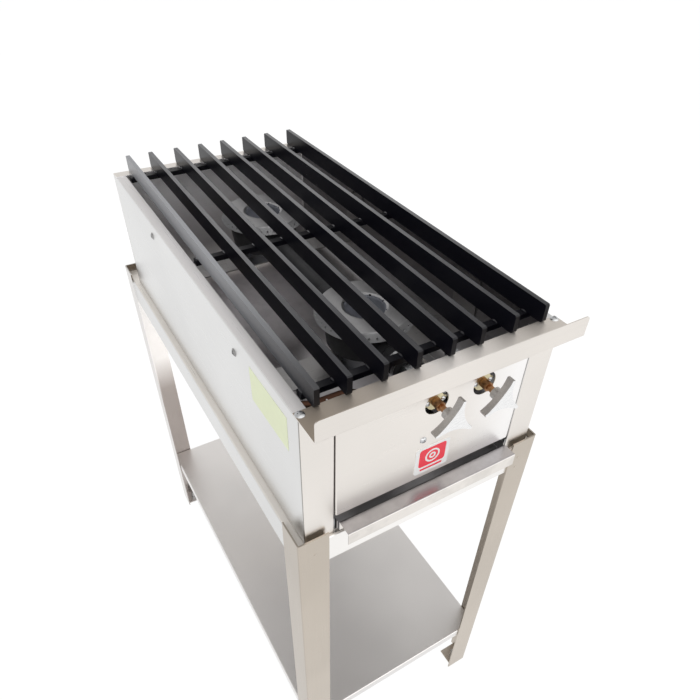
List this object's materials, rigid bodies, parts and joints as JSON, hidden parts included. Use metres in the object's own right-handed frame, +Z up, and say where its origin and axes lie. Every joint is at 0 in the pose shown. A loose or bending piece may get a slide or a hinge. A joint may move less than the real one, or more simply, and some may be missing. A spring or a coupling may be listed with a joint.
{
  "type": "two-burner gas stove",
  "caption": "Free-standing gas stove with ring burners one behind the other under a bar grate, star knobs, a pull-out drip tray and a tall angle stand with a shelf",
  "frame": {"origin": "Middle of the footprint, on the floor under the levelling feet", "axes": "+X is to the right seen from the front, +Y runs from the front to the back, +Z is up"},
  "size_m": [0.375, 0.766, 0.9245],
  "materials": {
    "stainless": "brushed, warm grey",
    "tray_steel": "rolled, shiny grey-brown",
    "cap_steel": "machined, bright grey",
    "black_enamel": "satin black",
    "black_iron": "as cast, dark",
    "knob_metal": "cast, polished face",
    "spindle_brass": "browned",
    "valve_brass": "yellow, as turned",
    "pipe_copper": "copper coloured",
    "zinc_steel": "zinc plated, bright",
    "plate_white": "glossy white",
    "label_green": "matt yellow-green, blank"
  },
  "bodies": {
    "stove": {"leg_front_left": "stainless", "leg_front_right": "stainless", "leg_rear_left": "stainless", "leg_rear_right": "stainless", "rail_front": "stainless", "rail_rear": "stainless", "rail_left": "stainless", "rail_right": "stainless", "shelf": "stainless", "levelling_feet": "zinc_steel", "side_panel_left": "stainless", "side_panel_right": "stainless", "back_panel": "stainless", "front_panel": "stainless", "front_ledge": "stainless", "tray_runner_left": "tray_steel", "tray_runner_right": "tray_steel", "burner_support_front": "tray_steel", "burner_support_rear": "tray_steel", "burner_bowl_front": "black_iron", "burner_bowl_rear": "black_iron", "mixing_tube_front": "black_iron", "mixing_tube_rear": "black_iron", "burner_cap_front": "cap_steel", "burner_cap_rear": "cap_steel", "jet_front": "valve_brass", "jet_rear": "valve_brass", "gas_manifold": "zinc_steel", "manifold_bracket": "zinc_steel", "supply_pipe": "pipe_copper", "pipe_clip": "valve_brass", "gas_inlet": "valve_brass", "inlet_locknut": "valve_brass", "rear_feed_pipe": "pipe_copper", "pipe_nuts": "zinc_steel", "valve_left": "valve_brass", "valve_right": "valve_brass", "valve_screws": "zinc_steel", "side_screws": "zinc_steel", "ledge_screws": "zinc_steel", "panel_screws": "zinc_steel", "bowl_bolts": "zinc_steel", "badge_plate": "plate_white", "side_label": "label_green"},
    "knob_left": {"knob_left": "knob_metal", "spindle_left": "spindle_brass"},
    "knob_right": {"knob_right": "knob_metal", "spindle_right": "spindle_brass"},
    "drip_tray": {"drip_tray": "tray_steel"},
    "grate": {"grate_bar_1": "black_enamel", "grate_bar_2": "black_enamel", "grate_bar_3": "black_enamel", "grate_bar_4": "black_enamel", "grate_bar_5": "black_enamel", "grate_bar_6": "black_enamel", "grate_bar_7": "black_enamel", "grate_bar_8": "black_enamel", "grate_cross_bars": "black_enamel"},
    "air_shutter_front": {"air_shutter_front": "zinc_steel"},
    "air_shutter_rear": {"air_shutter_rear": "black_iron"}
  },
  "joints": [
    {"name": "knob_left_turn", "type": "hinge", "parent": "stove", "child": "knob_left", "pos_m": [-0.0025, -0.3455, 0.8445], "axis": [0, -1, 0], "range_deg": [0, 180]},
    {"name": "knob_right_turn", "type": "hinge", "parent": "stove", "child": "knob_right", "pos_m": [0.067, -0.3455, 0.8445], "axis": [0, -1, 0], "range_deg": [0, 180]},
    {"name": "tray_slide", "type": "slide", "parent": "stove", "child": "drip_tray", "axis": [0, -1, 0], "range_m": [0, 0.42]},
    {"name": "grate_lift", "type": "slide", "parent": "stove", "child": "grate", "axis": [0, 0, 1], "range_m": [0, 0.15]},
    {"name": "shutter_front_turn", "type": "hinge", "parent": "stove", "child": "air_shutter_front", "pos_m": [0.0045, -0.2635, 0.838], "axis": [0, 1, 0], "range_deg": [0, 90]},
    {"name": "shutter_rear_turn", "type": "hinge", "parent": "stove", "child": "air_shutter_rear", "pos_m": [0.0045, -0.0855, 0.838], "axis": [0, 1, 0], "range_deg": [0, 90]}
  ]
}
